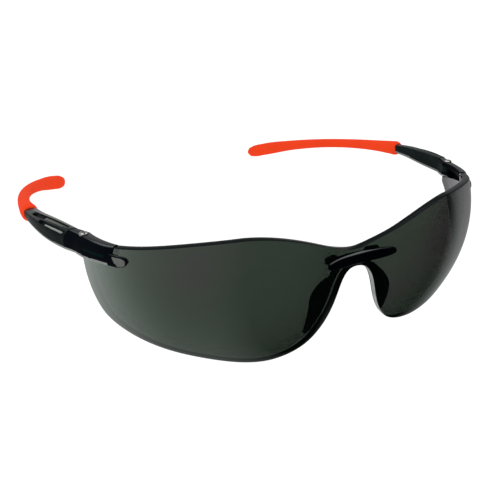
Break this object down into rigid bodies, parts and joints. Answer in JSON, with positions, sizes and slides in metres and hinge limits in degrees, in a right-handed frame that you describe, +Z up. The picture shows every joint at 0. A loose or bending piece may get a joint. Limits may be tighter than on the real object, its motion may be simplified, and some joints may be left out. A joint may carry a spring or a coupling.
{
  "type": "safety glasses",
  "caption": "Wraparound safety glasses: one curved smoke lens, clip-in nose piece, corner hinges and folding temples with soft curved sleeves.",
  "frame": {"origin": "on the table, under the centre of the bounding box, with the glasses open and standing on the lens lobes and the sleeve tips", "axes": "+Z up, +Y from the lens back to the sleeve tips, +X to the wearer's left; x = 0 is the plane of symmetry"},
  "size_m": [0.1538, 0.1416, 0.0402],
  "materials": {
    "smoke_lens": "polished smoke-grey polycarbonate",
    "black_plastic": "glossy black injection moulding",
    "smoke_plastic": "glossy translucent smoke-grey moulding",
    "orange_rubber": "matt orange-red soft overmould",
    "dark_rubber": "satin soft nose pads",
    "screw_steel": "bright plated steel",
    "insert_brass": "turned, unlacquered"
  },
  "bodies": {
    "front": {"lens_shield": "smoke_lens", "endpiece_left": "black_plastic", "endpiece_right": "black_plastic", "hinge_screw_left": "screw_steel", "hinge_screw_right": "screw_steel", "hinge_insert_left": "insert_brass", "hinge_insert_right": "insert_brass", "nose_bridge_bar": "black_plastic", "nose_piece_carrier": "dark_rubber", "nose_pad_left": "dark_rubber", "nose_pad_right": "dark_rubber"},
    "temple_left": {"temple_arm_left": "smoke_plastic", "temple_sleeve_left": "orange_rubber"},
    "temple_right": {"temple_arm_right": "smoke_plastic", "temple_sleeve_right": "orange_rubber"}
  },
  "joints": [
    {"name": "temple_left_fold", "type": "hinge", "parent": "front", "child": "temple_left", "pos_m": [0.068, -0.03305, 0.03149], "axis": [0, 0.1393, 0.9903], "range_deg": [0, 90]},
    {"name": "temple_right_fold", "type": "hinge", "parent": "front", "child": "temple_right", "pos_m": [-0.068, -0.03305, 0.03149], "axis": [0, -0.1393, -0.9903], "range_deg": [0, 74]}
  ]
}
